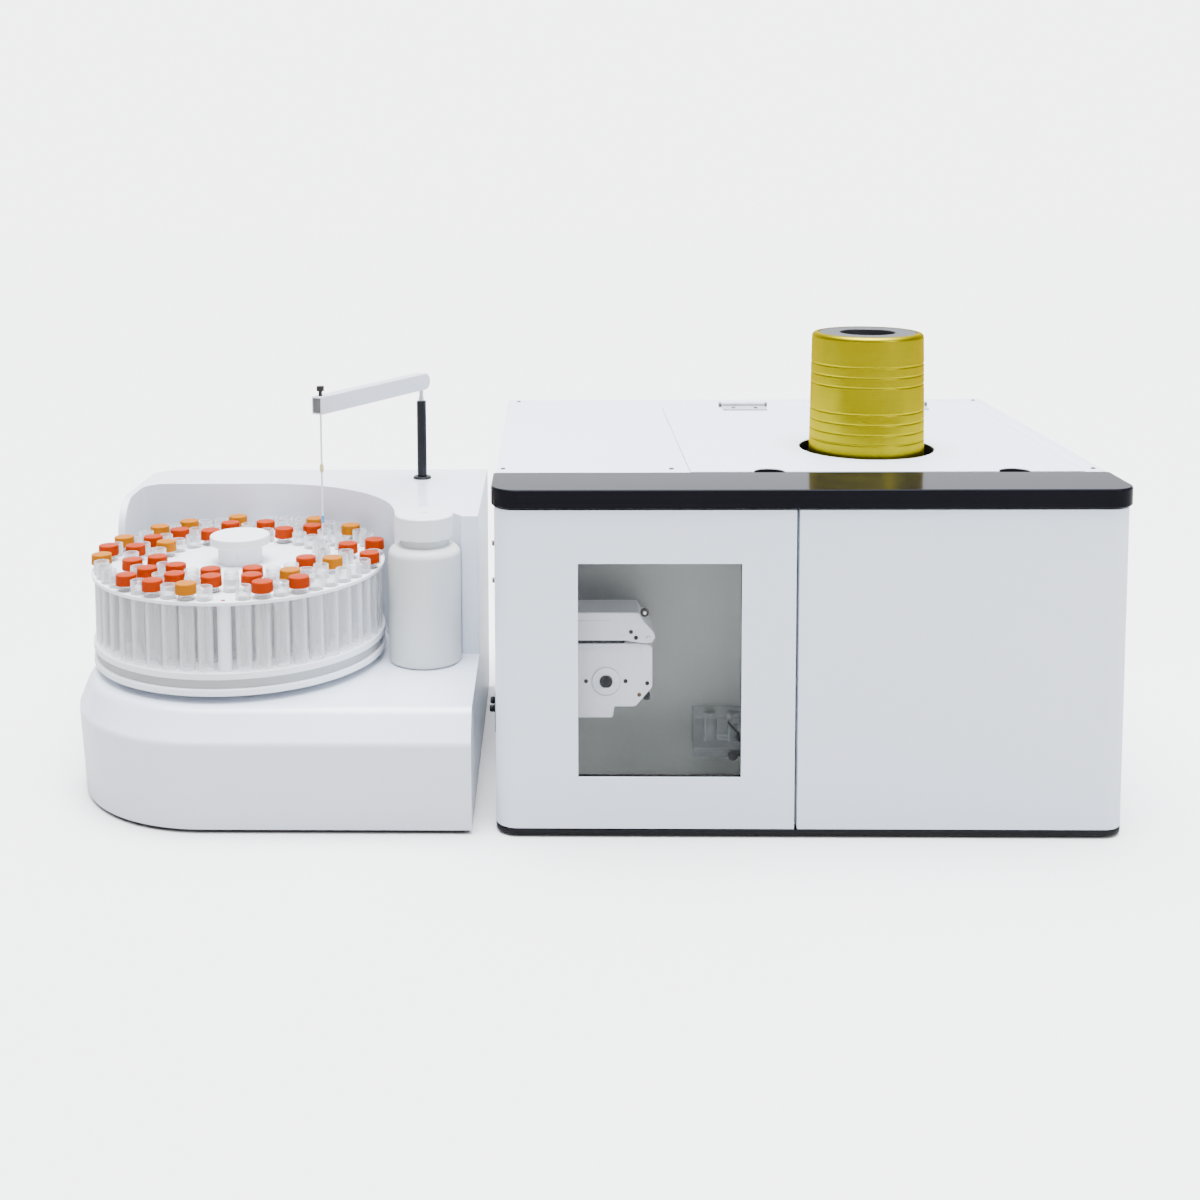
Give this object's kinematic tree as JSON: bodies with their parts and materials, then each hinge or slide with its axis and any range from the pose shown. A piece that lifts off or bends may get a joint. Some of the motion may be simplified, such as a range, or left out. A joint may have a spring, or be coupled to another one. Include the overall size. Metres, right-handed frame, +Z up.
{
  "type": "atomic fluorescence spectrometer",
  "caption": "Bench spectrometer with two front doors, a viewing window, a lid round a tall exhaust chimney, and a carousel autosampler with a swinging needle arm beside it.",
  "frame": {"origin": "centre of the footprint of the cabinet and the sampler together, at bench level", "axes": "+X to the right as seen from the front, +Y to the rear, +Z up"},
  "size_m": [1.077, 0.5562, 0.478],
  "materials": {
    "rubber_black": "matte rubber",
    "plinth_black": "satin black paint",
    "powder_white": "fine white powder coat",
    "trim_black": "matte moulded plastic",
    "gloss_black": "polished black",
    "hinge_metal": "bright plated steel",
    "gold_anodised": "satin gold anodised",
    "bare_aluminium": "turned aluminium",
    "clear_pane": "clear acrylic",
    "chamber_grey": "grey paint",
    "quartz": "clear quartz",
    "module_grey": "dark grey housing",
    "pump_white": "white moulded plastic",
    "gloss_white": "glossy white moulding",
    "milky_plastic": "translucent polyethylene",
    "rod_black": "black anodised rod",
    "arm_white": "satin light grey",
    "needle_white": "white fluoropolymer tube",
    "tube_clear": "clear polypropylene"
  },
  "bodies": {
    "housing": {"foot_front_left": "rubber_black", "foot_front_right": "rubber_black", "foot_rear_left": "rubber_black", "foot_rear_right": "rubber_black", "base_plinth": "plinth_black", "left_side_panel": "powder_white", "right_side_panel": "powder_white", "side_port_plate": "trim_black", "visor_plate": "gloss_black", "top_cover": "powder_white", "lid_hinge_base_left": "hinge_metal", "lid_hinge_base_right": "hinge_metal", "rear_panel": "powder_white", "fan_housing": "trim_black", "fan_guard": "hinge_metal", "power_inlet": "trim_black", "switch_bezel": "trim_black", "gas_inlet": "hinge_metal", "data_port": "hinge_metal", "centre_partition": "chamber_grey", "bay_wall": "chamber_grey", "optics_deck": "chamber_grey", "atomizer_housing": "bare_aluminium", "furnace_tube": "quartz", "lamp_left": "module_grey", "lamp_right": "module_grey", "detector_housing": "module_grey", "pump_body": "pump_white", "separator_block": "clear_pane", "gas_control_box": "module_grey", "sampler_cover": "gloss_white", "sampler_base_plate": "rubber_black", "column_flange": "trim_black", "lift_guide": "trim_black", "turntable_motor": "module_grey"},
    "left_door": {"left_door_shell": "powder_white", "window_pane": "clear_pane", "window_gasket": "rubber_black"},
    "right_door": {"right_door_shell": "powder_white"},
    "lid": {"lid_panel": "powder_white", "lid_hinge_leaf_left": "hinge_metal", "lid_hinge_leaf_right": "hinge_metal"},
    "chimney": {"chimney_tube": "gold_anodised", "chimney_top_ring": "bare_aluminium"},
    "pump_roller_cage": {"pump_rotor": "trim_black"},
    "pump_clamp_arm": {"pump_clamp": "pump_white"},
    "fan": {"fan_rotor": "trim_black"},
    "rocker": {"power_switch": "trim_black"},
    "carousel": {"turntable_disc": "gloss_white", "rack_spacer_ring": "milky_plastic", "tube_rack": "tube_clear", "rack_upper_plate": "gloss_white", "open_sample_tube": "tube_clear"},
    "knob": {"rack_knob": "gloss_white"},
    "lift_column": {"column_rod": "rod_black"},
    "sampling_arm": {"arm_beam": "arm_white", "needle": "needle_white", "needle_fitting": "needle_white"},
    "bottle": {"bottle_body": "milky_plastic"},
    "cap": {"bottle_cap": "milky_plastic"}
  },
  "joints": [
    {"name": "left_door_hinge", "type": "hinge", "parent": "housing", "child": "left_door", "pos_m": [-0.0625, -0.25315, 0.17], "axis": [0, 0, -1], "range_deg": [0, 100]},
    {"name": "right_door_hinge", "type": "hinge", "parent": "housing", "child": "right_door", "pos_m": [0.5135, -0.25315, 0.17], "axis": [0, 0, 1], "range_deg": [0, 100]},
    {"name": "lid_hinge", "type": "hinge", "parent": "housing", "child": "lid", "pos_m": [0.3195, 0.21485, 0.3533], "axis": [-1, 0, 0], "range_deg": [0, 13]},
    {"name": "chimney_lift", "type": "slide", "parent": "housing", "child": "chimney", "axis": [0, 0, 1], "range_m": [0, 0.17]},
    {"name": "pump_rotor_spin", "type": "hinge", "parent": "housing", "child": "pump_roller_cage", "pos_m": [0.0265, -0.19, 0.1435], "axis": [0, 1, 0], "continuous": true},
    {"name": "pump_clamp_hinge", "type": "hinge", "parent": "housing", "child": "pump_clamp_arm", "pos_m": [0.0695, -0.207, 0.1883], "axis": [0, 1, 0], "range_deg": [0, 60]},
    {"name": "fan_spin", "type": "hinge", "parent": "housing", "child": "fan", "pos_m": [0.3855, 0.26, 0.23], "axis": [0, 1, 0], "continuous": true},
    {"name": "power_switch_rock", "type": "hinge", "parent": "housing", "child": "rocker", "pos_m": [0.4755, 0.27555, 0.092], "axis": [-1, 0, 0], "range_deg": [0, 12]},
    {"name": "turntable_spin", "type": "hinge", "parent": "housing", "child": "carousel", "pos_m": [-0.3715, -0.08665, 0.13], "axis": [0, 0, 1], "continuous": true},
    {"name": "rack_knob_turn", "type": "hinge", "parent": "carousel", "child": "knob", "pos_m": [-0.3715, -0.08665, 0.24], "axis": [0, 0, 1], "continuous": true},
    {"name": "arm_lift", "type": "slide", "parent": "housing", "child": "lift_column", "axis": [0, 0, 1], "range_m": [-0.08, 0]},
    {"name": "arm_swing", "type": "hinge", "parent": "lift_column", "child": "sampling_arm", "pos_m": [-0.1865, 0.11085, 0.39], "axis": [0, 0, -1], "range_deg": [-22, 0]},
    {"name": "bottle_lift", "type": "slide", "parent": "housing", "child": "bottle", "axis": [0, 0, 1], "range_m": [0, 0.12]},
    {"name": "bottle_cap_lift", "type": "slide", "parent": "bottle", "child": "cap", "axis": [0, 0, 1], "range_m": [0, 0.06]}
  ]
}
